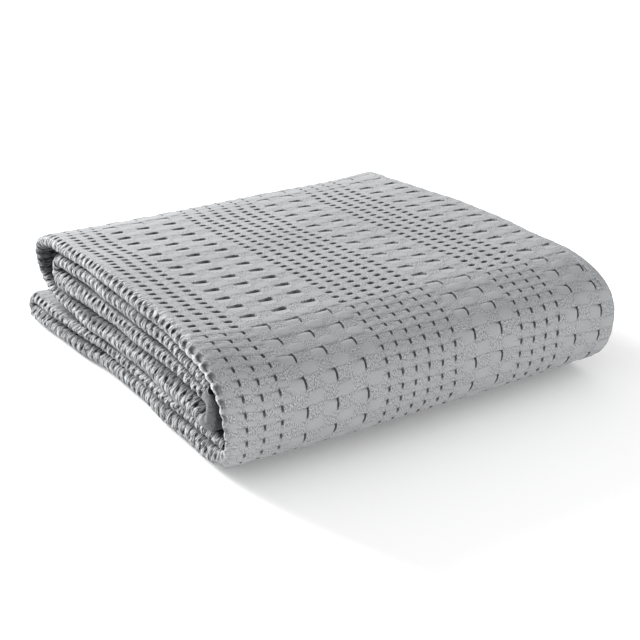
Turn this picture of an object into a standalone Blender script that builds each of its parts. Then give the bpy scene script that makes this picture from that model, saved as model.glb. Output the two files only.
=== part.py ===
"""A pique blanket folded into a pack: one woven panel, folded in four across its width,
then laid back and forth in six passes. The front is one large round fold, the left end
shows the six fold edges above one another, and the back has one high loop over a small one."""

import math

import bmesh
import bpy

# The pack, in metres. X runs along the long front fold, Y from the front to the back.
HEIGHT = 0.1086
FRONT_REACH = 0.0934
LONG = 0.42
DEEP = 0.44

# The cloth.
CLOTH = 0.0026
LAYERS = 4

# Each pass of the folded strip, as (height of its middle, thickness of its four layers)
# at three places from the front to the back.
STOPS = (0.10, 0.20, 0.30)
PASSES = {
    "bottom": ((0.0115, 0.0230), (0.0105, 0.0210), (0.0092, 0.0184)),
    "fifth": ((0.0306, 0.0122), (0.0283, 0.0122), (0.0262, 0.0128)),
    "fourth": ((0.0512, 0.0255), (0.0463, 0.0215), (0.0420, 0.0160)),
    "third": ((0.0718, 0.0126), (0.0665, 0.0160), (0.0622, 0.0212)),
    "second": ((0.0858, 0.0124), (0.0842, 0.0162), (0.0832, 0.0180)),
    "top": ((0.1013, 0.0145), (0.1013, 0.0145), (0.1013, 0.0145)),
}

# Where each pass's left and right fold edges lie, at the front and at the back.
# Most of the change comes near the back.
EDGES = {
    "bottom": ((0.0130, 0.4250), (-0.0170, 0.4120)),
    "fifth": ((0.0110, 0.4130), (-0.0130, 0.4090)),
    "fourth": ((0.0050, 0.4180), (-0.0040, 0.4120)),
    "third": ((0.0070, 0.4150), (-0.0020, 0.4100)),
    "second": ((0.0080, 0.4170), (0.0010, 0.4090)),
    "top": ((0.0060, 0.4300), (-0.0030, 0.4080)),
}

# How much a fold edge wanders along its pass, as (size, waves per metre, start).
WANDER = ((0.0012, 5.1, 0.4), (0.0006, 11.7, 1.9))

# What lies lower than this is pressed flat on the surface below.
PRESSED = 0.0004

# How the pack swells and sinks, as shares of its height: the fold edges puff up both ends,
# the middle is a little domed, and the back sinks, most at the left.
PUFF = 0.060
PUFF_REACH = 0.045
RIGHT_PUFF = 0.030
DOME = 0.018
SINK = 0.065
SINK_START = 0.24
RIPPLE = 0.004

# How far the front fold bows out in its middle.
BOW = 0.0050

RUN_STEPS = 3
OUTER_STEPS = 8
INNER_STEPS = 5


def between(values, y):
    """The value at y of a row given at the three stops, held level past its ends."""
    if y <= STOPS[0]:
        return values[0]
    for (y0, y1), (v0, v1) in zip(zip(STOPS, STOPS[1:]), zip(values, values[1:])):
        if y <= y1:
            share = (y - y0) / (y1 - y0)
            smooth = share * share * (3 - 2 * share)
            return v0 + (v1 - v0) * smooth
    return values[-1]


def station(name, y, lift=0.0, thickness=None):
    """One place on a pass: (y, z, thickness, left edge, right edge)."""
    row = PASSES[name]
    z = between([stop[0] for stop in row], y)
    thick = thickness or between([stop[1] for stop in row], y)
    share = min(max(y / 0.40, 0.0), 1.0) ** 3
    (left0, right0), (left1, right1) = EDGES[name]
    return (y, z + lift, thick, left0 + (left1 - left0) * share, right0 + (right1 - right0) * share)


def run(name, start, end, steps):
    """The stations of a pass from one y to another."""
    return [station(name, start + (end - start) * i / steps) for i in range(steps + 1)]


def turn(first, last, reach, squareness, steps, thickness):
    """The stations of a fold from one pass to the next, round a loop that reaches out by reach.
    They leave out both ends. A squareness of 2 is an ellipse."""
    places = []
    for i in range(1, steps):
        angle = math.pi * i / steps
        share = (1 - math.copysign(abs(math.cos(angle)) ** (2 / squareness), math.cos(angle))) / 2
        out = reach * math.sin(angle) ** (2 / squareness)
        along = i / steps
        middle = math.sin(angle)
        thick = first[2] + (last[2] - first[2]) * along
        places.append(
            (
                first[0] + (last[0] - first[0]) * along + out,
                first[1] + (last[1] - first[1]) * share,
                thick + (thickness - thick) * middle,
                first[3] + (last[3] - first[3]) * along,
                first[4] + (last[4] - first[4]) * along,
            )
        )
    return places


def path():
    """Every station of the folded strip, from its free end inside the front
    to the one under the top."""
    fifth = [
        station("fifth", 0.022, 0.0070, 0.0124),
        station("fifth", 0.040, 0.0048, 0.0124),
        station("fifth", 0.060, 0.0026, 0.0126),
        station("fifth", 0.080, 0.0010, 0.0132),
        *run("fifth", 0.10, 0.425, 5),
    ]
    bottom = run("bottom", 0.425, FRONT_REACH, 5)
    top = run("top", FRONT_REACH, 0.362, 5)
    fourth = [
        *run("fourth", 0.352, 0.10, 4),
        station("fourth", 0.075, 0.0000, 0.0220),
        station("fourth", 0.050, -0.0010, 0.0170),
    ]
    third = [
        station("third", 0.050, -0.0030, 0.0150),
        station("third", 0.075, -0.0012, 0.0136),
        *run("third", 0.10, 0.372, 5),
    ]
    second = [
        *run("second", 0.372, 0.10, 5),
        station("second", 0.075, -0.0008, 0.0126),
        station("second", 0.050, -0.0022, 0.0122),
    ]
    return [
        *fifth,
        *turn(fifth[-1], bottom[0], 0.0100, 2.2, 6, 0.0142),
        *bottom,
        *turn(bottom[-1], top[0], -(FRONT_REACH - 0.0063), 2.7, 14, 0.0126),
        *top,
        *turn(top[-1], fourth[0], 0.0720, 2.8, 10, 0.0126),
        *fourth,
        *turn(fourth[-1], third[0], -0.0115, 2.2, 6, 0.0150),
        *third,
        *turn(third[-1], second[0], 0.0125, 2.2, 6, 0.0160),
        *second,
    ]


def layers(thickness, left, right):
    """The middle line of the cloth across the strip, as (x, n) points: from one hem at the
    right, round the left fold, round the fold at the right, and round the inner left fold."""
    pitch = (thickness - CLOTH) / (LAYERS - 1)
    outer, inner = 1.5 * pitch, 0.5 * pitch
    half = CLOTH / 2
    bend = left + outer + half
    nest = bend
    far = right - inner - half
    line = [(right - 0.006, outer)]
    line += straight(right - 0.006, bend, outer)
    line += arc(bend, 0.0, outer, OUTER_STEPS, -1)
    line += straight(bend, far, -outer)
    line += arc(far, -pitch, inner, INNER_STEPS, 1)
    line += straight(far, nest, -inner)
    line += arc(nest, 0.0, -inner, INNER_STEPS, -1)
    line += straight(nest, right - 0.009, inner)
    line.append((right - 0.009, inner))
    return line


def straight(start, end, n):
    """The points inside a run across the strip."""
    steps = RUN_STEPS + 1
    return [(start + (end - start) * i / steps, n) for i in range(1, steps)]


def arc(x, n, radius, steps, side):
    """Half a circle of points round (x, n), from n + radius to n - radius, on the side of x given.
    A fold on the right starts at its lower end."""
    points = []
    for i in range(steps + 1):
        angle = math.pi * i / steps
        rise = math.cos(angle) * radius
        points.append((x + side * abs(math.sin(angle) * radius), n + (rise if side < 0 else -rise)))
    return points


def directions(points):
    """The unit normal at each point of an open line of pairs."""
    normals = []
    for i in range(len(points)):
        before = points[max(i - 1, 0)]
        after = points[min(i + 1, len(points) - 1)]
        along = (after[0] - before[0], after[1] - before[1])
        length = math.hypot(*along)
        normals.append((-along[1] / length, along[0] / length))
    return normals


def outline(line):
    """The cloth's two faces, as points on each side of its middle line."""
    half = CLOTH / 2
    sides = []
    for side in (half, -half):
        sides.append(
            [(x + nx * side, n + nn * side) for (x, n), (nx, nn) in zip(line, directions(line))]
        )
    return sides


def settled(x, y, z):
    """A point of the pack after its own weight has made it uneven.
    The underside is pressed flat."""
    far = min(max((y - SINK_START) / (DEEP - SINK_START), 0.0), 1.0)
    puff = PUFF * math.exp(-((max(x, 0.0) / PUFF_REACH) ** 2)) * (1 - far)
    dome = DOME * math.sin(math.pi * min(max(y / DEEP, 0.0), 1.0)) ** 2
    puff += RIGHT_PUFF * math.exp(-((min(x - LONG, 0.0) / PUFF_REACH) ** 2))
    sink = SINK * far**1.5 * (1 - 0.6 * x / LONG)
    ripple = RIPPLE * math.sin(2 * math.pi * (1.7 * x / LONG + 1.3 * y / DEEP))
    bow = BOW * math.sin(math.pi * min(max(x / LONG, 0.0), 1.0)) * max(1 - y / 0.1, 0.0)
    return (x, y - bow, 0.0 if z < PRESSED else z * (1 + puff + dome - sink + ripple))


def wander(distance):
    """How far a fold edge strays at a distance along the strip."""
    return sum(size * math.sin(2 * math.pi * waves * distance + start) for size, waves, start in WANDER)


def blanket_mesh():
    """The folded cloth as one closed mesh."""
    places = path()
    normals = directions([(place[0], place[1]) for place in places])
    mesh = bmesh.new()
    rings = []
    distance = 0.0
    for i, ((y, z, thick, left, right), (ny, nz)) in enumerate(zip(places, normals)):
        if i:
            distance += math.hypot(y - places[i - 1][0], z - places[i - 1][1])
        stray = wander(distance)
        ring = []
        for side in outline(layers(thick, left + stray, right - stray)):
            ring.append([mesh.verts.new(settled(x, y + n * ny, z + n * nz)) for x, n in side])
        rings.append(ring)
    for here, there in zip(rings, rings[1:]):
        skin(mesh, here[0] + here[1][::-1], there[0] + there[1][::-1])
    for ring in (rings[0], rings[-1]):
        for k in range(len(ring[0]) - 1):
            mesh.faces.new((ring[0][k], ring[0][k + 1], ring[1][k + 1], ring[1][k]))
    bmesh.ops.recalc_face_normals(mesh, faces=mesh.faces)
    centre(mesh)
    return mesh


def centre(mesh):
    """Moves the mesh so that the middle of its outline lies over the origin."""
    for axis in (0, 1):
        places = [vert.co[axis] for vert in mesh.verts]
        middle = (min(places) + max(places)) / 2
        for vert in mesh.verts:
            vert.co[axis] -= middle


def skin(mesh, here, there):
    """The faces between two neighbouring closed rings of points."""
    count = len(here)
    for k in range(count):
        after = (k + 1) % count
        mesh.faces.new((here[k], here[after], there[after], there[k]))


def cotton():
    """Undyed mid-grey cotton."""
    material = bpy.data.materials.new("cotton")
    material.use_nodes = True
    surface = material.node_tree.nodes["Principled BSDF"]
    surface.inputs["Base Color"].default_value = (0.42, 0.43, 0.44, 1.0)
    surface.inputs["Roughness"].default_value = 0.9
    return material


def blanket():
    """The blanket, folded."""
    data = bpy.data.meshes.new("blanket")
    mesh = blanket_mesh()
    mesh.to_mesh(data)
    mesh.free()
    data.materials.append(cotton())
    thing = bpy.data.objects.new("blanket", data)
    bpy.context.collection.objects.link(thing)
    return thing


for leftover in list(bpy.data.objects):
    bpy.data.objects.remove(leftover)
blanket()
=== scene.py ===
"""Looks for a folded pique blanket. One cloth lies folded in four across its width and then
back and forth in six passes. Its outer face is modelled with the weave in relief, in
stretches that follow one another along the folded strip. Its inner layers are plain, apart
from ribs where they fold at the right."""

import math

import bpy
import numpy as np
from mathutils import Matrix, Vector


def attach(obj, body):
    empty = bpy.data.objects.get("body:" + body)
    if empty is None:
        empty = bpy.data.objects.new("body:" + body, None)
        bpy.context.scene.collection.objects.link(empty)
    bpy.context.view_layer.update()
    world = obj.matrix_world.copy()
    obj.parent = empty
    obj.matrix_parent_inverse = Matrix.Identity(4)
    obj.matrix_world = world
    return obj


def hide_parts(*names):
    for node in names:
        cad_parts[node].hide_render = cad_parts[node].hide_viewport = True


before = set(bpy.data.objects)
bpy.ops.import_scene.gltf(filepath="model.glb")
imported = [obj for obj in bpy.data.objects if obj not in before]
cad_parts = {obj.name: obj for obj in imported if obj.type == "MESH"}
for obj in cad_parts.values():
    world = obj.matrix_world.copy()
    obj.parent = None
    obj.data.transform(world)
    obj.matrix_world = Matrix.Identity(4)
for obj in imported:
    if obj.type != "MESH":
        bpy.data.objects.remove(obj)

# The pack, in metres, as the solid has it before it is centred over the origin.
FRONT_REACH = 0.0934
LONG = 0.42
DEEP = 0.44
CENTRE = (0.20713, 0.21855)

# The cloth.
CLOTH = 0.0026
HALF = CLOTH / 2

# Each pass of the folded strip, as (height of its middle, thickness of its four layers)
# at three places from the front to the back.
STOPS = (0.10, 0.20, 0.30)
PASSES = {
    "bottom": ((0.0115, 0.0230), (0.0105, 0.0210), (0.0092, 0.0184)),
    "fifth": ((0.0306, 0.0122), (0.0283, 0.0122), (0.0262, 0.0128)),
    "fourth": ((0.0512, 0.0255), (0.0463, 0.0215), (0.0420, 0.0160)),
    "third": ((0.0718, 0.0126), (0.0665, 0.0160), (0.0622, 0.0212)),
    "second": ((0.0858, 0.0124), (0.0842, 0.0162), (0.0832, 0.0180)),
    "top": ((0.1013, 0.0145), (0.1013, 0.0145), (0.1013, 0.0145)),
}

# Where each pass's left and right fold edges lie, at the front and this far back.
EDGES_BACK = 0.40
EDGES = {
    "bottom": ((0.0130, 0.4250), (-0.0170, 0.4120)),
    "fifth": ((0.0110, 0.4130), (-0.0130, 0.4090)),
    "fourth": ((0.0050, 0.4180), (-0.0040, 0.4120)),
    "third": ((0.0070, 0.4150), (-0.0020, 0.4100)),
    "second": ((0.0080, 0.4170), (0.0010, 0.4090)),
    "top": ((0.0060, 0.4300), (-0.0030, 0.4080)),
}

# How much a fold edge wanders along its pass, as (size, waves per metre, start).
WANDER = ((0.0012, 5.1, 0.4), (0.0006, 11.7, 1.9))

# How the pack swells and sinks, as shares of its height: its ends puff up, its middle forms
# a dome, its back sinks, least at the right, and its top ripples.
PUFF = 0.060
RIGHT_PUFF = 0.030
DOME = 0.018
SINK = 0.065
SINK_FALL = 0.6
RIPPLE = 0.004
RIPPLE_WAVES = (1.7, 1.3)

# How far the puff reaches, where the sinking starts, how far the middle of the front bows
# out and how far back that is felt. Points that are lower than the last stay on the floor.
PUFF_REACH = 0.045
SINK_START = 0.24
BOW = 0.0050
BOW_REACH = 0.1
PRESSED = 0.0004

# The strip is followed in steps of this size, and its corners are rounded over this length.
STEP = 0.001
ROUNDING = 0.003

# The left fold begins over this much cloth to each side of its bend.
BEND_EASE = 0.004

# Where along the strip a side of the pack lies, in metres: from a distance past the start of
# one stretch, eased over a width, to a distance past the start of another, eased over a width.
SIDES = {
    "front": ("front", 0.035, 0.030, "top", 0.0, 0.040),
    "top": ("top", -0.022, 0.016, "top", 0.30, 0.040),
    "tucked": ("fold_in", -0.010, 0.008, "third", 0.010, 0.008),
    "pocket": ("front", 0.0, 0.020, "top", 0.020, 0.020),
    "nose": ("fold_in", -0.030, 0.020, "third", 0.030, 0.020),
}

# How far in from their edge the two hems of the cloth lie on the strip's right.
HEM_INSET = (0.006, 0.009)
HEM_WIDTH = 0.0045
HEM_HEIGHT = 0.0016
HEM_ROWS = 1220
HEM_ROUGH = 0.8
STITCH_PITCH = 0.004

# The inner layers: rows along the strip, steps across each layer, how much the ribs of the
# right fold stand out as a share of its bulge, how dark the painted shade in its grooves is, how
# rough the cloth is, and how much painted light lifts it in the pocket at the near corner. The
# hidden outermost layer has coarser rows.
INNER_ROWS = 1400
INNER_STEPS = 8
RIGHT_RIB = 0.16
RIGHT_GROOVE_PAINTED_SHADE = 0.65
INNER_ROUGH = 0.6
POCKET_PAINTED_LIGHT = 0.40
HIDDEN_STEP = 0.006

# The weave. A column of slit patches has a plain column of the same width on its right.
# Bands of so many small pairs alternate with bands of large ones. The first band starts on
# the far side of the left fold, with five pairs.
SMALL = 0.0076
LARGE = 0.0152
BANDS = (
    ("small", 9),
    ("large", 3),
    ("small", 6),
    ("large", 2),
    ("small", 4),
    ("large", 3),
)
BANDS_START = 0.0015 - 5 * 2 * SMALL

# How far the far edge of every large slit row lies behind the start of the top pass.
ROW_MARKS = (
    0.2670, 0.2452, 0.2242, 0.2017, 0.1809, 0.1611, 0.1403,
    0.1185, 0.0956, 0.0738, 0.0516, 0.0310, 0.0080,
)
ROW_PITCH = 0.0221

# How far the weave has slipped over the pack, in millimetres across and along the cloth, at
# places across it and at distances behind the start of the top pass.
SLIP_PLACES = (-0.004, 0.07, 0.14, 0.20, 0.25, 0.30, 0.36, 0.42)
SLIP_ACROSS = (
    (-0.240, (0, 0, 0, 0, 0, 0, 0, 0)),
    (-0.140, (0, 2, -1.5, -8, -10, -11, -10.5, -9.5)),
    (-0.100, (0, 4, 0, -5, -7.5, -8, -8.5, -7.5)),
    (-0.060, (0, 6.7, 6.3, 4.5, 4.3, 2.6, 1.7, -2)),
    (-0.020, (0, 8, 9, 7.8, 8.3, 10, 10, 7.3)),
    (0.020, (0, 8.1, 8.8, 7.6, 7.5, 9, 10, 8.6)),
    (0.065, (0, 7.1, 5.3, 4.5, 6.3, 5.7, 6.6, 6.5)),
    (0.120, (0, 3.5, 0.9, 2.9, 1.6, 0.4, -0.7, -1.8)),
    (0.180, (0, -1.7, -3.1, -6.4, -8.1, -9, -6, -5.6)),
    (0.245, (0, -7.1, -8.6, -9, -9.8, -12, -11, -10)),
    (0.400, (0, 0, 0, 0, 0, 0, 0, 0)),
)
SLIP_ALONG = (
    (-0.240, (0, 0, 0, 0, 0, 0, 0, 0)),
    (-0.140, (0, -1.5, 3.4, 3.3, 2.1, 1.2, -4.2, -10)),
    (-0.100, (0, -1.5, 3, 3, 1.5, 1, -4.2, -10)),
    (-0.060, (0, -2.7, 0, 0, -0.7, -1.4, -3.5, -11)),
    (-0.020, (0, -2.6, -0.7, -0.4, -0.4, -1.2, -4.3, -11.6)),
    (0.020, (0, -2.8, -0.9, -2.5, -2.5, -2.3, -3.8, -11.2)),
    (0.065, (0, -0.9, -1.8, -2.6, -3.2, -3.3, -5.8, -14)),
    (0.120, (0, -0.7, -3.3, -4.9, -6.3, -7.9, -9.7, -15.6)),
    (0.180, (0, 0, -2.3, -6, -7.5, -8, -10, -19)),
    (0.245, (0, 1.2, 0, -3, -6.5, -10.8, -12.3, -20)),
    (0.400, (0, 0, 0, 0, 0, 0, 0, 0)),
)

# Soft ridges and troughs of the outermost layer, each as (start, end, half width, height).
# A place is (across the cloth, distance behind the start of the top pass), in metres.
CREASES = (
    ((0.05, 0.034), (0.40, 0.022), 0.018, 0.0004),
    ((0.06, -0.045), (0.41, -0.048), 0.021, -0.0024),
    ((0.10, 0.135), (0.30, 0.105), 0.026, -0.0009),
    ((0.20, 0.190), (0.40, 0.230), 0.024, 0.0008),
    ((0.03, 0.230), (0.14, 0.210), 0.022, -0.0007),
    ((0.10, -0.074), (0.20, -0.080), 0.016, 0.0006),
    ((0.27, -0.070), (0.38, -0.076), 0.016, 0.0006),
    ((0.14, -0.100), (0.32, -0.092), 0.016, 0.0006),
)

# Waves by which the weave strays, each as (size, length across the cloth, length along it).
STRAY_ACROSS = ((0.0005, 0.31, 0.083), (0.0004, -0.12, 0.041))
STRAY_ALONG = ((0.0006, 0.094, 0.37), (0.0004, 0.037, -0.21))

# How far the sides of a column curl in and out, and how far the ribs lean along the strip on
# their way round the left fold.
CURL = {"small": 0.0006, "large": 0.0013}
LEAN = 0.0034

# The relief, in metres.
SLIT_DEPTH = {"small": 0.0023, "large": 0.0024}
SLIT_EDGE = 0.0004
PATCH_RISE = {"small": 0.0005, "large": 0.0008}
LIP_RISE = 0.0003
RIB_DEPTH = 0.0010
SCALLOP = 0.0012

# On the border of the front a slit's patch sinks as an oval. Its middle and its half sizes
# are shares of a cell.
BORDER_OVAL = (0.50, 0.62)
BORDER_HALF = (0.52, 0.46)

# Painted shade in the cloth's colour, from 0 for plain cloth to 1 inside a slit, for the rim of
# an oval and the small fold inside the front, and a painted highlight on the bright edge of the
# front's border. The flecked ground is this much fainter on the upright faces than on top.
OVAL_RIM_PAINTED_SHADE = 0.34
TUCK_PAINTED_SHADE = 0.62
EDGE_PAINTED_HIGHLIGHT = 0.90
UPRIGHT_FLECKS = 0.76

# A place takes the painted shade of the darkest of these neighbours, each as (metres across
# the cloth, rows along it), so that the painted shade of a slit covers its steep edge too.
NEIGHBOURS = ((0.0002, 0.0), (0.0, 0.01), (0.0002, 0.01))

# The lines across the cloth: where the outer face starts and ends, where it ends if only its
# fold edge shows, and the (start, end, step) of extra lines at the border of the front.
FACE_START = -0.034
FACE_END = 0.446
EDGE_END = 0.040
BORDER_LINES = (-0.002, 0.028, 0.0008)

# The relief fades out over these widths: towards the inner layers, the hem, and the hidden
# rest of a stretch inside the pack.
LAYER_FADE = 0.006
HEM_FADE = 0.008
INSIDE_FADE = 0.012

# Faces of a smaller area or a shorter side than these are left out of a grid.
LEAST_AREA = 2e-9
LEAST_SIDE = 1e-6

# The view. The camera looks at a point above the middle of the front half.
TARGET = (0.0001, -0.0307, 0.0400)
DISTANCE = 1.1430
AZIMUTH = -0.5464
ELEVATION = 0.4251
LENS = 63.96

# The studio. Each lamp is (place, size, power), and both face a point in the pack.
KEY = ((-1.0, 2.5, 1.0), 1.0, 200.0)
FILL = ((0.3, -2.4, 0.5), 1.0, 36.0)
LAMP_AIM = (0.0, 0.0, 0.05)
SURROUNDINGS = 0.86
FLOOR_SIZE = 12.0
FLOOR_DROP = 0.0002

# Colours, and how fine the flecks, the streaks of yarn and the faint mottle are.
COTTON_TONE = (0.240, 0.245, 0.252)
FLOOR_TONE = (0.97, 0.97, 0.97, 1.0)
FLECK_SCALE = 1150.0
YARN_SCALE = 560.0
MOTTLE_SCALE = 45.0


def between(values, y):
    """The value at y of a row given at the three stops, held level past its ends."""
    if y <= STOPS[0]:
        return values[0]
    for (y0, y1), (v0, v1) in zip(zip(STOPS, STOPS[1:]), zip(values, values[1:])):
        if y <= y1:
            share = (y - y0) / (y1 - y0)
            return v0 + (v1 - v0) * share * share * (3 - 2 * share)
    return values[-1]


def station(name, y, lift=0.0, thickness=None):
    """One place on a pass: (y, z, thickness, left edge, right edge)."""
    row = PASSES[name]
    z = between([stop[0] for stop in row], y)
    thick = thickness or between([stop[1] for stop in row], y)
    share = min(max(y / EDGES_BACK, 0.0), 1.0) ** 3
    (left0, right0), (left1, right1) = EDGES[name]
    return (y, z + lift, thick, left0 + (left1 - left0) * share, right0 + (right1 - right0) * share)


def run(name, start, end, steps):
    """The stations of a pass from one y to another."""
    return [station(name, start + (end - start) * i / steps) for i in range(steps + 1)]


def turn(first, last, reach, squareness, steps, thickness):
    """The stations of a fold from one pass to the next, without both ends. It goes out by
    reach, is boxier with a higher squareness, and has this thickness halfway round."""
    places = []
    for i in range(1, steps):
        angle = math.pi * i / steps
        share = (1 - math.copysign(abs(math.cos(angle)) ** (2 / squareness), math.cos(angle))) / 2
        out = reach * math.sin(angle) ** (2 / squareness)
        along = i / steps
        thick = first[2] + (last[2] - first[2]) * along
        places.append(
            (
                first[0] + (last[0] - first[0]) * along + out,
                first[1] + (last[1] - first[1]) * share,
                thick + (thickness - thick) * math.sin(angle),
                first[3] + (last[3] - first[3]) * along,
                first[4] + (last[4] - first[4]) * along,
            )
        )
    return places


def legs():
    """The stretches of the folded strip in order, as (name, stations). Where a pass ends
    inside the front fold, its lift and thickness are given station by station."""
    fifth = [
        station("fifth", 0.0165, 0.0055, 0.0124),
        station("fifth", 0.040, 0.0042, 0.0124),
        station("fifth", 0.060, 0.0026, 0.0126),
        station("fifth", 0.080, 0.0010, 0.0132),
        *run("fifth", 0.10, 0.425, 5),
    ]
    bottom = run("bottom", 0.425, FRONT_REACH, 5)
    top = run("top", FRONT_REACH, 0.362, 5)
    fourth = [
        *run("fourth", 0.352, 0.10, 4),
        station("fourth", 0.068, 0.0000, 0.0220),
        station("fourth", 0.038, -0.0010, 0.0170),
    ]
    third = [
        station("third", 0.038, -0.0030, 0.0150),
        station("third", 0.068, -0.0012, 0.0136),
        *run("third", 0.10, 0.372, 5),
    ]
    second = [
        *run("second", 0.372, 0.10, 5),
        station("second", 0.075, -0.0008, 0.0126),
        station("second", 0.050, -0.0022, 0.0122),
        station("second", 0.031, -0.0046, 0.0112),
    ]
    return (
        ("fifth", fifth),
        ("low_loop", turn(fifth[-1], bottom[0], 0.0100, 2.2, 18, 0.0142)),
        ("bottom", bottom),
        ("front", turn(bottom[-1], top[0], -(FRONT_REACH - 0.0063), 2.7, 42, 0.0126)),
        ("top", top),
        ("high_loop", turn(top[-1], fourth[0], 0.0720, 2.8, 30, 0.0126)),
        ("fourth", fourth),
        ("fold_in", turn(fourth[-1], third[0], -0.0050, 2.2, 18, 0.0150)),
        ("third", third),
        ("fold_out", turn(third[-1], second[0], 0.0125, 2.2, 18, 0.0160)),
        ("second", second),
    )


def rounded(values, width):
    """A row of values with its corners rounded, and its ends kept."""
    reach = int(3 * width)
    weights = np.exp(-0.5 * (np.arange(-reach, reach + 1) / width) ** 2)
    before = 2 * values[0] - values[reach:0:-1]
    after = 2 * values[-1] - values[-2 : -reach - 2 : -1]
    return np.convolve(np.concatenate((before, values, after)), weights / weights.sum(), "valid")


class Strip:
    """The folded strip, as rows of values along its middle."""

    def __init__(self):
        stretches = legs()
        places = np.array([place for _, stations in stretches for place in stations])
        steps = np.hypot(*np.diff(places[:, :2], axis=0).T)
        marks = np.concatenate(([0.0], np.cumsum(steps)))
        self.length = marks[-1]
        self.starts = {}
        index = 0
        for name, stations in stretches:
            self.starts[name] = marks[index]
            index += len(stations)
        self.along = np.linspace(0.0, self.length, int(self.length / STEP) + 1)
        rows = [np.interp(self.along, marks, column) for column in places.T]
        self.y, self.z, self.thick, self.left, self.right = (
            rounded(row, ROUNDING / STEP) for row in rows
        )
        dy = np.gradient(self.y)
        dz = np.gradient(self.z)
        size = np.hypot(dy, dz)
        self.ny = -dz / size
        self.nz = dy / size

    def at(self, name, v):
        """One of the strip's rows at distances v along it."""
        return np.interp(v, self.along, getattr(self, name))


STRIP = Strip()


def wander(v):
    """How far a fold edge strays at a distance along the strip."""
    return sum(size * np.sin(2 * np.pi * waves * v + start) for size, waves, start in WANDER)


def settled(x, y, z):
    """Points of the pack after its own weight has made it uneven, centred over the origin."""
    far = np.clip((y - SINK_START) / (DEEP - SINK_START), 0.0, 1.0)
    puff = PUFF * np.exp(-((np.maximum(x, 0.0) / PUFF_REACH) ** 2)) * (1 - far)
    puff += RIGHT_PUFF * np.exp(-((np.minimum(x - LONG, 0.0) / PUFF_REACH) ** 2))
    dome = DOME * np.sin(np.pi * np.clip(y / DEEP, 0.0, 1.0)) ** 2
    sink = SINK * far**1.5 * (1 - SINK_FALL * x / LONG)
    waves_x, waves_y = RIPPLE_WAVES
    ripple = RIPPLE * np.sin(2 * np.pi * (waves_x * x / LONG + waves_y * y / DEEP))
    bow = BOW * np.sin(np.pi * np.clip(x / LONG, 0.0, 1.0)) * np.maximum(1 - y / BOW_REACH, 0.0)
    height = np.where(z < PRESSED, 0.0, z * (1 + puff + dome - sink + ripple))
    return np.stack((x - CENTRE[0], y - bow - CENTRE[1], height), axis=-1)


def folded(v, x, n):
    """Points of the pack at distances v along the strip, x across it and n off its middle."""
    y = STRIP.at("y", v) + n * STRIP.at("ny", v)
    z = STRIP.at("z", v) + n * STRIP.at("nz", v)
    return settled(x, y, z)


def outer_face(c, v, h):
    """Points on the cloth's outer face at c across it and v along it, raised by h.
    C is the place across the outermost layer, and runs on below that round the left fold."""
    stray = wander(v)
    radius = STRIP.at("thick", v) / 2
    bend = STRIP.at("left", v) + stray + radius
    hem = STRIP.at("right", v) - stray - HEM_INSET[0]
    past = bend - c
    angle = np.clip(past / radius, 0.0, np.pi)
    x = bend - (radius + h) * np.sin(angle) - np.minimum(past, 0.0)
    x += np.maximum(past - np.pi * radius, 0.0)
    n = (radius + h) * np.cos(angle)
    return folded(v, np.minimum(x, hem), n)


def creases(c, v):
    """How far the outermost layer is lifted by its soft ridges and troughs."""
    behind = v - STRIP.starts["top"]
    lift = np.zeros_like(c)
    for (c0, v0), (c1, v1), width, height in CREASES:
        span = (c1 - c0) ** 2 + (v1 - v0) ** 2
        share = ((c - c0) * (c1 - c0) + (behind - v0) * (v1 - v0)) / span
        share = np.clip(share, 0.0, 1.0)
        gap = np.hypot(c - c0 - share * (c1 - c0), behind - v0 - share * (v1 - v0))
        lift += height * np.exp(-((gap / width) ** 2))
    return lift


def share_of(low, high, value):
    """How far value is from low to high, eased at both ends."""
    t = np.clip((value - low) / (high - low), 0.0, 1.0)
    return t * t * (3 - 2 * t)


def on_side(name, v):
    """How far distances v along the strip are on one side of the pack, from 0 to 1."""
    first, before, rise, last, past, fall = SIDES[name]
    start = STRIP.starts[first] + before
    end = STRIP.starts[last] + past
    return share_of(start, start + rise, v) * share_of(end, end - fall, v)


def chance(i, j, salt):
    """A fixed number from 0 to 1 for a cell of the weave."""
    return np.modf(np.abs(np.sin(i * 12.9898 + j * 78.233 + salt * 37.719) * 43758.5453))[0]


def columns():
    """The weave's columns from the left, as (start, width, size, has slits)."""
    found = []
    place = BANDS_START
    for size, pairs in BANDS:
        width = SMALL if size == "small" else LARGE
        for _ in range(pairs):
            found.append((place, width, size, True))
            found.append((place + width, width, size, False))
            place += 2 * width
    return found


COLUMNS = columns()


def phase_of(v):
    """How many large rows of the weave lie before the distance v along the strip."""
    marks = STRIP.starts["top"] + np.array(ROW_MARKS[::-1])
    rows = np.arange(len(marks), dtype=float)
    inside = np.interp(v, marks, rows)
    before = np.minimum(v - marks[0], 0.0) / ROW_PITCH
    after = np.maximum(v - marks[-1], 0.0) / ROW_PITCH
    return inside + before + after


def distance_of(phase):
    """The distance along the strip of a row of the weave."""
    marks = STRIP.starts["top"] + np.array(ROW_MARKS[::-1])
    rows = np.arange(len(marks), dtype=float)
    inside = np.interp(phase, rows, marks)
    return inside + np.minimum(phase, 0.0) * ROW_PITCH + np.maximum(phase - rows[-1], 0.0) * ROW_PITCH


def half_rows(phase):
    """A wave along the weave: 0 where each half row starts, and 1 in its middle."""
    return np.abs(np.sin(2 * np.pi * phase))


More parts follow.
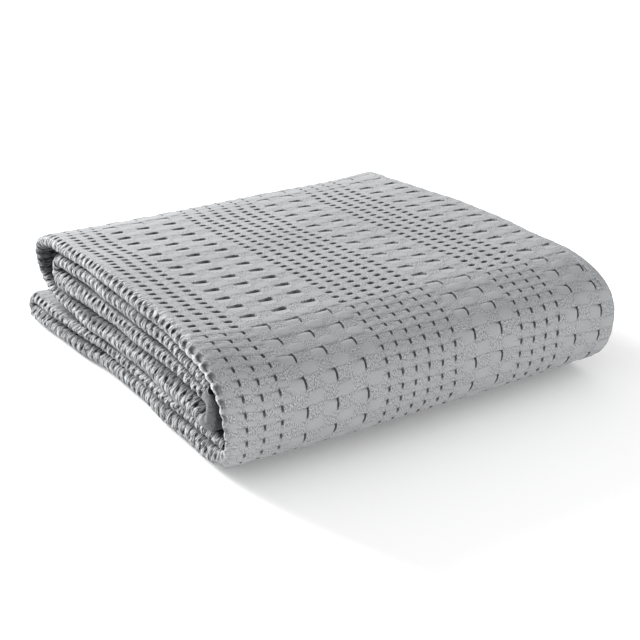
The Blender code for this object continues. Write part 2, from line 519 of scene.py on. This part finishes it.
def column_lines(start, end, detail):
    """Lines across the cloth from one place to another, with a close pair at each slit's edge.
    Detail 2 gives more lines to a column than detail 1."""
    shares = {
        ("small", True, 2): (0.0, 0.3, 0.6, 0.8),
        ("small", False, 2): (0.0, 0.08, 0.3, 0.55, 0.8),
        ("large", True, 2): (0.0, 0.12, 0.3, 0.48, 0.66, 0.8, 0.9),
        ("large", False, 2): (0.0, 0.05, 0.18, 0.34, 0.5, 0.66, 0.82),
        ("small", True, 1): (0.0, 0.5),
        ("small", False, 1): (0.0, 0.5),
        ("large", True, 1): (0.0, 0.3, 0.65),
        ("large", False, 1): (0.0, 0.3, 0.65),
    }
    lines = []
    for place, width, size, slits in COLUMNS:
        lines += [place + width * share for share in shares[(size, slits, detail)]]
        if slits:
            lines.append(place + width - SLIT_EDGE)
    first = lines[0]
    while first > start:
        first -= SMALL / 2
        lines.insert(0, first)
    return np.array([line for line in lines if start <= line <= end] + [end])


def row_lines(start, end, detail):
    """Rows along the strip from one phase to another, with a close pair at each slit's far edge.
    Detail 1 spaces them evenly, and detail 2 more closely where a slit gapes."""
    shares = {
        2: (0.0, 0.05, 0.16, 0.3, 0.42, 0.5, 0.62, 0.74, 0.86),
        1: tuple(i / 12 for i in range(12)),
    }[detail]
    edge = SLIT_EDGE / ROW_PITCH
    lines = []
    for step in range(math.floor(start * 2), math.ceil(end * 2) + 1):
        lines += [(step + share) / 2 for share in shares]
        lines.append((step + 1) / 2 - edge)
        if detail == 2:
            lines.append((step + 0.5) / 2 - edge)
    return np.array([start] + sorted(line for line in lines if start < line < end) + [end])


def cell_of(c, phase):
    """The cell of the weave at c across the cloth and a phase along it, as (column, row, share
    across the column, share along the row, is it a small column, does it have slits)."""
    starts = np.array([column[0] for column in COLUMNS])
    index = np.clip(np.searchsorted(starts, c + 1e-7, side="right") - 1, 0, len(COLUMNS) - 1)
    width = np.array([column[1] for column in COLUMNS])[index]
    small = np.array([column[2] == "small" for column in COLUMNS])[index]
    slits = np.array([column[3] for column in COLUMNS])[index]
    a = np.clip((c - starts[index]) / width, 0.0, 1.0)
    rows = np.where(small, phase * 2 + 0.5, phase)
    row = np.floor(rows + 1e-6)
    return index, row, a, np.clip(rows - row, 0.0, 1.0), small, slits


class Stretch:
    """A grid of places on the cloth's outer face, with the side of the pack that each is on.
    Turned is how far round the left fold a place is, in radians. The others go from 0 to 1:
    bent on the left fold, front on the large front fold, top on top of the pack, and tucked
    in the small fold inside the front."""

    def __init__(self, lines, phases):
        self.c, self.phase = np.meshgrid(lines, phases)
        self.v = np.clip(distance_of(self.phase), 0.0, STRIP.length)
        radius = STRIP.at("thick", self.v) / 2
        bend = STRIP.at("left", self.v) + radius
        self.turned = (bend - self.c) / radius
        self.bent = share_of(bend + BEND_EASE, bend - BEND_EASE, self.c)
        self.front = on_side("front", self.v)
        self.top = on_side("top", self.v)
        self.tucked = on_side("tucked", self.v)


def roundness(a, b, power):
    """How far out in its cell a place is: 1 on an oval that touches the cell's four sides. A
    higher power makes the oval squarer."""
    return (np.abs(2 * a - 1) ** power + np.abs(2 * b - 1) ** power) ** (1 / power)


def slit_gape(c, a, b, small, top):
    """How far a slit's patch sinks at the shares a across it and b along it, from 0 to 1. On
    top of the pack it sinks towards a slanted line near its far edge, which is blunter at the
    left. On the upright faces it sinks at its right, with a hook into its far edge."""
    gape = np.where(small, 0.60 + 0.40 * share_of(0.0, 0.5, a), 0.55 + 0.45 * share_of(0.05, 0.8, a))
    gape = gape * share_of(0.0, 0.12, a)
    hook = share_of(np.where(small, 0.25, 0.60), 0.97, a) * share_of(0.74, 0.94, b)
    upright_far = 0.50 * share_of(0.82, 0.96, b) + 0.40 * hook

    blunt = share_of(0.24, 0.12, c)
    slant = np.where(small, 0.20, 0.44 * (1 - 0.85 * blunt))
    far_line = 0.95 - slant * share_of(0.82, 1.04, a)
    slope = np.clip(b / far_line, 0.0, 1.0)
    steep = share_of(np.where(small, 0.35, 0.72 - 0.26 * blunt), 1.0, slope)
    top_far = (0.60 * slope + 0.40 * steep) * share_of(far_line + 0.11, far_line + 0.02, b)
    far = gape * (upright_far + (top_far - upright_far) * top)

    right = share_of(np.where(small, 0.68, 0.89), 0.97, a)
    right = right * share_of(0.0, np.where(small, 0.40, 0.25), b)
    return np.maximum(far, right * (1 - 0.8 * top))


def fold_gap(a, b, within, front):
    """How far a slit's patch sinks on the left fold, from 0 to 1. It gapes there as a slanted
    slot, and as an oval with one deep end where that fold is the border of the front."""
    across = np.sin(np.pi * np.clip((a - 0.10) / 0.82, 0.0, 1.0)) ** 0.6
    slot = across * share_of(0.18, 0.48, b - 0.45 * (a - 0.5))
    aside = (a - BORDER_OVAL[0]) / BORDER_HALF[0]
    ahead = (within - BORDER_OVAL[1]) / BORDER_HALF[1]
    oval = share_of(1.0, 0.86, np.hypot(aside, ahead))
    oval = oval * (0.66 + 0.26 * (ahead - 0.8 * aside))
    return slot + (oval - slot) * front


def relief(c, phase, place):
    """The weave at c across the cloth and a phase along it: its height in metres, its painted
    shade from 0 to 1, which grows with how deep in a slit it is and lines the rims of its ovals,
    and how rough its ground is from 0 to 1. Place is the stretch that tells which side of the
    pack each point is on."""
    index, row, a, within, small, slits = cell_of(c, phase)
    bent, front, top = place.bent, place.front, place.top
    outside = (c < COLUMNS[0][0]) | (c > COLUMNS[-1][0] + COLUMNS[-1][1])
    in_slit = slits & ((within >= 0.5 - 1e-6) | (bent * front > 0.1))
    in_oval = ~slits & (within < 0.5)
    on_ground = ~slits & ~in_oval
    b = np.clip((within - 0.5) * 2, 0.0, 1.0)
    oval_b = np.clip(within * 2, 0.0, 1.0)

    depth = np.where(small, SLIT_DEPTH["small"], SLIT_DEPTH["large"])
    depth = depth * (0.8 + 0.4 * chance(index, row, 1))
    sunk = slit_gape(c, a, b, small, top) * (1 - bent) + fold_gap(a, b, within, front) * bent
    rise = np.where(small, PATCH_RISE["small"], PATCH_RISE["large"])
    crown = np.sin(np.pi * a) * np.sin(np.pi * b)
    oval = share_of(1.10, 0.84, roundness(a, oval_b, 2.3))
    patch = share_of(1.10, 0.86, roundness(a, b, 3))
    lip = share_of(0.25, 0.0, a) * np.sin(np.pi * b) * LIP_RISE

    height = np.where(in_slit, rise * 0.4 * crown - depth * sunk, 0.0)
    height += np.where(in_oval, rise * oval * (1 - 0.4 * top), 0.0)
    height += np.where(on_ground, lip, 0.0)
    rim = np.maximum(share_of(0.05, 0.0, oval_b), share_of(0.95, 1.0, oval_b))
    rim = rim * np.sin(np.pi * a) ** 0.5
    # Painted shade: a slit darkens in the cloth's colour as it sinks, and on the upright faces the
    # rim of an oval gets a line of painted shade.
    slit = np.where(in_slit, sunk**2, 0.0)
    slit = np.where(in_oval, OVAL_RIM_PAINTED_SHADE * rim * (1 - bent) * (1 - top), slit)
    rough = np.where(in_slit, 1 - 0.9 * patch, np.where(in_oval, 1 - 0.95 * oval, 1.0))
    rough = rough * (UPRIGHT_FLECKS + (1 - UPRIGHT_FLECKS) * top)
    return (
        np.where(outside, 0.0, height),
        np.where(outside, 0.0, slit),
        np.where(outside, 0.6, rough),
    )


def ribs(c, phase):
    """The ribs that stand out where the cloth bends round the left fold: their height, and
    how deep in a groove a point is from 0 to 1, which sets the groove's painted shade. They
    bow and stray a little, and each is bolder in some columns than in others."""
    bow = 0.5 - 0.5 * np.cos(2 * np.pi * (c - COLUMNS[0][0] - SMALL / 2) / (2 * SMALL))
    turn = phase * 2 - 0.25 + 0.12 * bow
    number = np.floor(turn + 0.5)
    turn = turn + 0.10 * np.sin(2 * np.pi * c / 0.011 + 9 * chance(number, 4, 6))
    cell = np.floor(c / SMALL + 0.5)
    bold = 0.55 + 0.65 * chance(number, cell, 2)
    wave = np.abs(np.sin(np.pi * turn))
    rib = RIB_DEPTH * (0.4 + 0.6 * bold) * wave**0.6
    groove = (0.45 + 0.8 * bold) * share_of(0.36, 0.10, wave)
    return rib - RIB_DEPTH * 0.7, groove


def slipped(table, c, v):
    """A table of slips read at c across the cloth and v along it, in metres."""
    rows = np.stack([np.interp(c, SLIP_PLACES, values) for _, values in table])
    stations = STRIP.starts["top"] + np.array([station[0] for station in table])
    place = np.interp(v, stations, np.arange(len(table), dtype=float))
    low = np.minimum(place.astype(int), len(table) - 2)
    share = place - low
    first = np.take_along_axis(rows, low[None], axis=0)[0]
    second = np.take_along_axis(rows, low[None] + 1, axis=0)[0]
    return 0.001 * (first + (second - first) * share)


def strayed(waves, c, v):
    """The sum of some waves at c across the cloth and v along it."""
    return sum(size * np.sin(2 * np.pi * (c / wide + v / long)) for size, wide, long in waves)


def drift(c, v, phase):
    """How far the weave is off its place across and along the cloth. It has slipped over the
    pack, it strays a little, and its patches bulge."""
    across = slipped(SLIP_ACROSS, c, v) + strayed(STRAY_ACROSS, c, v)
    along = slipped(SLIP_ALONG, c, v) + strayed(STRAY_ALONG, c, v)
    _, _, a, within, small, slits = cell_of(c, phase)
    wave = 0.5 + 0.5 * np.cos(2 * np.pi * (within - 0.25))
    curl = np.where(small, CURL["small"], CURL["large"]) * wave * (1 - 2 * a)
    return across + np.where(slits, curl, -curl), along


def grid_quads(rows, cols, first):
    """The corner numbers of the faces of a grid whose points are numbered from first."""
    numbers = first + np.arange(rows * cols).reshape(rows, cols)
    quads = (numbers[:-1, :-1], numbers[:-1, 1:], numbers[1:, 1:], numbers[1:, :-1])
    return np.stack(quads, axis=-1).reshape(-1, 4)


def quad_mesh(name, points, quads):
    """A smooth mesh of four-sided faces between points."""
    data = bpy.data.meshes.new(name)
    data.vertices.add(len(points))
    data.vertices.foreach_set("co", points.astype(np.float32).ravel())
    data.loops.add(len(quads) * 4)
    data.loops.foreach_set("vertex_index", quads.astype(np.int32).ravel())
    data.polygons.add(len(quads))
    data.polygons.foreach_set("loop_start", np.arange(0, len(quads) * 4, 4, dtype=np.int32))
    data.update(calc_edges=True)
    data.validate()
    data.shade_smooth()
    return data


def grid_mesh(name, grids, material):
    """Sheets of four-sided faces through grids of points, with a value of each field at every
    point. Grids is a row of (points, fields). Faces that the hem has squeezed to nothing are
    left out."""
    flat = np.concatenate([points.reshape(-1, 3) for points, _ in grids])
    quads = []
    first = 0
    for points, _ in grids:
        rows, cols = points.shape[:2]
        quads.append(grid_quads(rows, cols, first))
        first += rows * cols
    quads = np.concatenate(quads)
    corner = flat[quads]
    area = np.linalg.norm(np.cross(corner[:, 2] - corner[:, 0], corner[:, 3] - corner[:, 1]), axis=1)
    short = np.minimum(
        np.linalg.norm(corner[:, 1] - corner[:, 0], axis=1),
        np.linalg.norm(corner[:, 2] - corner[:, 3], axis=1),
    )
    quads = quads[(area > LEAST_AREA) & (short > LEAST_SIDE)]
    used = np.unique(quads)
    renumber = np.zeros(len(flat), dtype=np.int64)
    renumber[used] = np.arange(len(used))
    data = quad_mesh(name, flat[used], renumber[quads])
    for field in grids[0][1]:
        wide = 3 if field == "cloth" else 1
        values = np.concatenate([fields[field].reshape(-1, wide) for _, fields in grids])[used]
        kind, key = ("FLOAT_VECTOR", "vector") if wide == 3 else ("FLOAT", "value")
        made = data.attributes.new(field, kind, "POINT")
        made.data.foreach_set(key, values.astype(np.float32).ravel())
    data.materials.append(material)
    thing = bpy.data.objects.new(name, data)
    bpy.context.collection.objects.link(thing)
    return thing


def fold_edge(place, height, slit):
    """The height and painted shade of the weave once the left fold has drawn it into ribs, with
    painted shade in their grooves. Where the fold is the border of the front, it has a scalloped
    edge made bright by a painted highlight instead, and in the small fold inside the front it is
    smooth, with painted shade. It has painted shade where it turns under, too."""
    turned, front, tucked = place.turned, place.front, place.tucked
    rib, groove = ribs(place.c, place.phase)
    around = place.bent * (1 - front) * (1 - tucked) * share_of(0.3, 1.0, turned)
    under = share_of(1.9, 2.8, turned - 0.5 * front)
    height = height * (1 - tucked) + around * (rib * (1 - under) - RIB_DEPTH * 0.3 * under)
    # Painted shade in the grooves of the ribs, in the small fold inside the front, and where the fold
    # turns under.
    slit = np.maximum(slit, around * groove)
    slit = slit * (1 - tucked) + TUCK_PAINTED_SHADE * tucked
    slit = np.maximum(slit, (0.85 - 0.25 * front) * under)
    edge = front * share_of(1.35, 1.65, turned) * share_of(2.6, 2.3, turned)
    # A painted highlight: the shade goes below 0 on the edge of the front's border.
    slit = slit - EDGE_PAINTED_HIGHLIGHT * edge * (slit < 0.05)
    height = height + SCALLOP * edge * (half_rows(place.phase) - 0.5)
    return height, slit


def painted_crevice_shade(place):
    """The painted shade on the outer face where it dips in between two passes. The fifth pass lies
    free of the others near the low loop, and gets no painted shade there."""
    low = STRIP.starts["low_loop"]
    shut = np.where(place.v > low, 1.0, share_of(low - 0.03, low - 0.08, place.v))
    return shut * share_of(0.95, 0.25, place.turned) ** 1.5


def woven(name, material, lines, phases, inside):
    """A stretch of the cloth's outer face with its weave in relief. Inside is true where the
    stretch lies between two passes, so that only its fold edge shows."""
    place = Stretch(lines, phases)
    c, v = place.c, place.v
    height, slit, rough = relief(c, place.phase, place)
    # The painted shade of a slit reaches over its steep edge.
    for across, along in NEIGHBOURS:
        slit = np.maximum(slit, relief(c - across, place.phase - along, place)[1])
    height, slit = fold_edge(place, height, slit)
    # Painted shade in the crevices between passes.
    if inside:
        slit = np.maximum(slit, painted_crevice_shade(place))
    fade = INSIDE_FADE if inside else HEM_FADE
    keep = share_of(lines[0], lines[0] + LAYER_FADE, c) * share_of(lines[-1], lines[-1] - fade, c)

    across, along = drift(c, v, place.phase)
    along += LEAN * (1 - np.cos(np.clip(place.turned, 0.0, np.pi))) * (1 - place.front)
    lifted = height * keep + creases(c, v)
    points = outer_face(c + across, np.clip(v + along, 0.0, STRIP.length), lifted)
    cloth = np.stack((c, v, np.zeros_like(c)), axis=-1)
    streaked = place.bent * (1 - place.tucked) * (1 - place.front)
    # The slit field is painted shade in the cloth's colour, and a painted highlight where it is below
    # 0.
    fields = {"slit": slit * keep, "rough": rough, "bent": streaked, "cloth": cloth}
    return grid_mesh(name, [(points, fields)], material)


def plain(points, x, v, rough):
    """A grid of the cloth without relief."""
    zero = np.zeros_like(x)
    cloth = np.stack((x, v + zero, zero), axis=-1)
    return points, {"slit": zero, "rough": zero + rough, "bent": zero, "cloth": cloth}


def inner_layers():
    """The layers inside the strip: from the lower end of the left fold to the right fold,
    back to the inner left fold and out to the second hem. The right fold has ribs, with
    painted shade in their grooves. The lowest layer gets painted light where it shows in the
    pocket at the near corner, and is streaked on the small fold inside the front."""
    v = np.linspace(0.0, STRIP.length, INNER_ROWS)
    rib = half_rows(phase_of(v))
    stray = wander(v)
    thick = STRIP.at("thick", v)
    pitch = (thick - CLOTH) / 3
    bend = STRIP.at("left", v) + stray + thick / 2
    right = STRIP.at("right", v) - stray
    far = right - pitch / 2 - HALF
    end = right - HEM_INSET[1]
    shares = np.linspace(0.0, 1.0, INNER_STEPS)

    line = [(bend + (far - bend) * share, -1.5 * pitch) for share in 0.05 + 0.95 * shares]
    for angle in np.linspace(0.0, np.pi, 9)[1:]:
        bulge = pitch / 2 * (1 + RIGHT_RIB * rib * np.sin(angle))
        line.append((far + bulge * np.sin(angle), -pitch - bulge * np.cos(angle)))
    line += [(bend + (far - bend) * share, -pitch / 2) for share in shares[-2::-1]]
    for angle in np.linspace(0.0, np.pi, 7)[1:]:
        line.append((bend - pitch / 2 * np.sin(angle), -pitch / 2 * np.cos(angle)))
    line += [(bend + (end - bend) * share, pitch / 2) for share in shares[1:]]
    x = np.stack([place[0] for place in line], axis=1)
    n = np.stack([place[1] for place in line], axis=1)
    points = folded(v[:, None] + np.zeros_like(x), x, n)
    points, fields = plain(points, x, v[:, None], INNER_ROUGH)

    outward = share_of(0.0, 0.9, (x - far[:, None]) / (pitch[:, None] / 2))
    groove = share_of(0.35, 0.05, rib)[:, None]
    pocket = on_side("pocket", v)[:, None]
    nose = on_side("nose", v)[:, None]
    lowest = np.arange(x.shape[1]) < INNER_STEPS
    fields["bent"] = np.maximum(outward, nose * lowest)
    # Painted shade in the grooves of the right fold, and painted light on the lowest layer in the
    # pocket at the near corner.
    fields["slit"] = RIGHT_GROOVE_PAINTED_SHADE * groove * fields["bent"] - POCKET_PAINTED_LIGHT * pocket * lowest
    return points, fields


def hidden_face(start, end):
    """The outermost layer where it lies inside the pack, from beside the left fold to the hem."""
    v = np.linspace(start, end, max(int((end - start) / HIDDEN_STEP), 8))
    stray = wander(v)
    thick = STRIP.at("thick", v)
    bend = STRIP.at("left", v) + stray + thick / 2
    hem = STRIP.at("right", v) - stray - HEM_INSET[0]
    shares = np.linspace(0.03, 1.0, 16)
    x = bend[:, None] + (hem - bend)[:, None] * shares[None, :]
    n = (thick / 2 - HALF)[:, None] + np.zeros_like(x)
    points = folded(v[:, None] + np.zeros_like(x), x, n)
    return plain(points, x, v[:, None], INNER_ROUGH)


def hem(name, material, inset, layer):
    """A turned hem along the strip, as a flattened roll with a row of stitches."""
    v = np.linspace(0.0, STRIP.length, HEM_ROWS)
    stray = wander(v)
    pitch = (STRIP.at("thick", v) - CLOTH) / 3
    edge = STRIP.at("right", v) - stray - inset
    angles = np.linspace(0.0, 2 * np.pi, 13)
    stitch = 0.10 * np.sin(2 * np.pi * v / STITCH_PITCH)
    x = edge[:, None] - HEM_WIDTH * 0.75 + HEM_WIDTH * np.cos(angles)[None, :]
    size = HEM_HEIGHT * (1 + stitch)
    n = (layer * pitch)[:, None] + size[:, None] * np.sin(angles)[None, :]
    points = folded(v[:, None] + np.zeros_like(x), x, n)
    return grid_mesh(name, [plain(points, x, v[:, None], HEM_ROUGH)], material)


def node(tree, kind, **values):
    """A new node with its named settings."""
    made = tree.nodes.new(kind)
    for key, value in values.items():
        setattr(made, key, value)
    return made


def mesh_field(tree, name, output="Fac"):
    """A field of the mesh, as a number or as a vector."""
    return node(tree, "ShaderNodeAttribute", attribute_name=name).outputs[output]


def drawn_out(tree, places, degrees, scale):
    """Places on the cloth turned and scaled, so that a pattern read there is drawn out."""
    made = node(tree, "ShaderNodeMapping")
    made.inputs["Rotation"].default_value = (0.0, 0.0, math.radians(degrees))
    made.inputs["Scale"].default_value = scale
    tree.links.new(places, made.inputs["Vector"])
    return made.outputs["Vector"]


def noise(tree, places, scale, detail):
    """Noise read at places on the cloth."""
    made = node(tree, "ShaderNodeTexNoise")
    made.inputs["Scale"].default_value = scale
    made.inputs["Detail"].default_value = detail
    tree.links.new(places, made.inputs["Vector"])
    return made.outputs["Fac"]


def remapped(tree, value, before, after, clamp=True):
    """A value carried over from one range to another."""
    made = node(tree, "ShaderNodeMapRange", clamp=clamp)
    for key, number in zip(("From Min", "From Max", "To Min", "To Max"), (*before, *after)):
        made.inputs[key].default_value = number
    tree.links.new(value, made.inputs["Value"])
    return made.outputs["Result"]


def combined(tree, operation, first, second):
    """The sum or the product of two values."""
    made = node(tree, "ShaderNodeMath", operation=operation)
    tree.links.new(first, made.inputs[0])
    tree.links.new(second, made.inputs[1])
    return made.outputs["Value"]


def cotton():
    """Mid-grey cotton: smooth patches, a flecked ground between them, streaks of yarn on the fold
    edges, and painted shade in slits, grooves and crevices, with painted light where the slit
    field is below 0."""
    material = bpy.data.materials.new("cotton_pique")
    material.use_nodes = True
    tree = material.node_tree
    link = tree.links.new
    surface = tree.nodes["Principled BSDF"]
    surface.inputs["Roughness"].default_value = 0.88
    surface.inputs["Specular IOR Level"].default_value = 0.25
    surface.inputs["Sheen Weight"].default_value = 0.15
    surface.inputs["Sheen Roughness"].default_value = 0.5

    cloth = mesh_field(tree, "cloth", "Vector")
    flecks = noise(tree, drawn_out(tree, cloth, 40, (1.0, 0.55, 1.0)), FLECK_SCALE, 1.5)
    yarn = noise(tree, drawn_out(tree, cloth, 6, (0.26, 1.0, 1.0)), YARN_SCALE, 2.0)
    mottle = noise(tree, cloth, MOTTLE_SCALE, 3.0)

    weight = remapped(tree, mesh_field(tree, "rough"), (0.0, 1.0), (0.03, 0.62))
    spread = remapped(tree, flecks, (0.34, 0.66), (-1.15, 0.85))
    strand = remapped(tree, yarn, (0.38, 0.60), (-0.85, 0.84))
    patchy = remapped(tree, mottle, (0.3, 0.7), (0.96, 1.04))
    # Painted shade: the slit field darkens the colour, and brightens it as painted light where it is
    # below 0.
    dark = remapped(tree, mesh_field(tree, "slit"), (0.0, 1.0), (1.0, 0.16), clamp=False)
    fleck = combined(tree, "MULTIPLY", spread, weight)
    streak = combined(tree, "MULTIPLY", strand, mesh_field(tree, "bent"))
    grain = combined(tree, "ADD", combined(tree, "ADD", fleck, streak), patchy)
    tint = node(tree, "ShaderNodeVectorMath", operation="SCALE")
    tint.inputs[0].default_value = COTTON_TONE
    link(combined(tree, "MULTIPLY", grain, dark), tint.inputs["Scale"])
    link(tint.outputs["Vector"], surface.inputs["Base Color"])

    raised = node(tree, "ShaderNodeMath", operation="MULTIPLY_ADD")
    link(streak, raised.inputs[0])
    raised.inputs[1].default_value = 0.35
    link(combined(tree, "MULTIPLY", flecks, weight), raised.inputs[2])
    bump = node(tree, "ShaderNodeBump")
    bump.inputs["Strength"].default_value = 0.4
    bump.inputs["Distance"].default_value = 0.004
    link(raised.outputs["Value"], bump.inputs["Height"])
    link(bump.outputs["Normal"], surface.inputs["Normal"])
    return material


def paper():
    """The plain white of the floor."""
    material = bpy.data.materials.new("floor_white")
    material.use_nodes = True
    surface = material.node_tree.nodes["Principled BSDF"]
    surface.inputs["Base Color"].default_value = FLOOR_TONE
    surface.inputs["Roughness"].default_value = 0.9
    surface.inputs["Specular IOR Level"].default_value = 0.1
    return material


def floor():
    """A wide plain floor just under the pack."""
    data = bpy.data.meshes.new("floor")
    half = FLOOR_SIZE / 2
    corners = [(-half, -half, 0.0), (half, -half, 0.0), (half, half, 0.0), (-half, half, 0.0)]
    data.from_pydata(corners, [], [(0, 1, 2, 3)])
    data.materials.append(paper())
    thing = bpy.data.objects.new("floor", data)
    bpy.context.collection.objects.link(thing)
    thing.location.z = -FLOOR_DROP


def lamp(name, place, size, power):
    """A square soft light that faces the pack."""
    data = bpy.data.lights.new(name, "AREA")
    data.shape = "SQUARE"
    data.size = size
    data.energy = power
    thing = bpy.data.objects.new(name, data)
    bpy.context.collection.objects.link(thing)
    thing.location = place
    aim = Vector(LAMP_AIM) - Vector(place)
    thing.rotation_euler = aim.to_track_quat("-Z", "Y").to_euler()


def lights():
    """Soft studio light: white surroundings, a low lamp behind the pack and a weak one before it."""
    lamp("key", *KEY)
    lamp("fill", *FILL)
    world = bpy.data.worlds.new("studio")
    world.use_nodes = True
    surroundings = world.node_tree.nodes["Background"]
    surroundings.inputs["Color"].default_value = (1.0, 1.0, 1.0, 1.0)
    surroundings.inputs["Strength"].default_value = SURROUNDINGS
    bpy.context.scene.world = world
    bpy.context.scene.view_settings.view_transform = "Standard"


def camera():
    """The camera at the photograph's place."""
    data = bpy.data.cameras.new("camera")
    data.sensor_width = 36.0
    data.lens = LENS
    data.clip_start = 0.05
    thing = bpy.data.objects.new("camera", data)
    bpy.context.collection.objects.link(thing)
    aim = Vector(
        (
            -math.sin(AZIMUTH) * math.cos(ELEVATION),
            math.cos(AZIMUTH) * math.cos(ELEVATION),
            -math.sin(ELEVATION),
        )
    )
    thing.location = Vector(TARGET) - aim * DISTANCE
    thing.rotation_euler = aim.to_track_quat("-Z", "Y").to_euler()
    bpy.context.scene.camera = thing


def faces(material):
    """The stretches of the outer face, as pieces, in order along the strip."""
    starts = {name: phase_of(place) for name, place in STRIP.starts.items()}
    end = phase_of(STRIP.length)
    near = column_lines(FACE_START, EDGE_END, 2)
    wide = column_lines(FACE_START, FACE_END, 2)
    bordered = np.union1d(wide, np.arange(*BORDER_LINES))
    coarse = column_lines(FACE_START, FACE_END, 1)
    front_start = round(starts["front"] * 2) / 2 - 1.25
    top_start = round(starts["top"] * 2) / 2 + 0.25
    loop_start = round(starts["high_loop"] * 2) / 2 + 0.25
    stretches = (
        ("fifth_edge", near, starts["fifth"], starts["low_loop"], 1, True),
        ("low_back", wide, starts["low_loop"], starts["bottom"], 2, False),
        ("underside", coarse, starts["bottom"], front_start, 1, False),
        ("front", bordered, front_start, top_start, 2, False),
        ("top", wide, top_start, loop_start, 2, False),
        ("high_back", wide, loop_start, starts["fourth"], 1, False),
        ("inner_edges", near, starts["fourth"], end, 1, True),
    )
    return [
        woven(name, material, lines, row_lines(low, high, detail), inside)
        for name, lines, low, high, detail, inside in stretches
    ]


def main():
    """Builds the blanket, its floor, lights and camera."""
    material = cotton()
    grids = [
        inner_layers(),
        hidden_face(0.0, STRIP.starts["low_loop"]),
        hidden_face(STRIP.starts["fourth"], STRIP.length),
    ]
    layers = grid_mesh("blanket_layers", grids, material)
    extra = faces(material)
    extra.append(hem("first_hem", material, HEM_INSET[0], 1.5))
    extra.append(hem("second_hem", material, HEM_INSET[1], 0.5))
    for piece in (layers, *extra):
        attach(piece, "root")
    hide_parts("blanket")
    floor()
    lights()
    camera()


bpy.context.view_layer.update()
main()
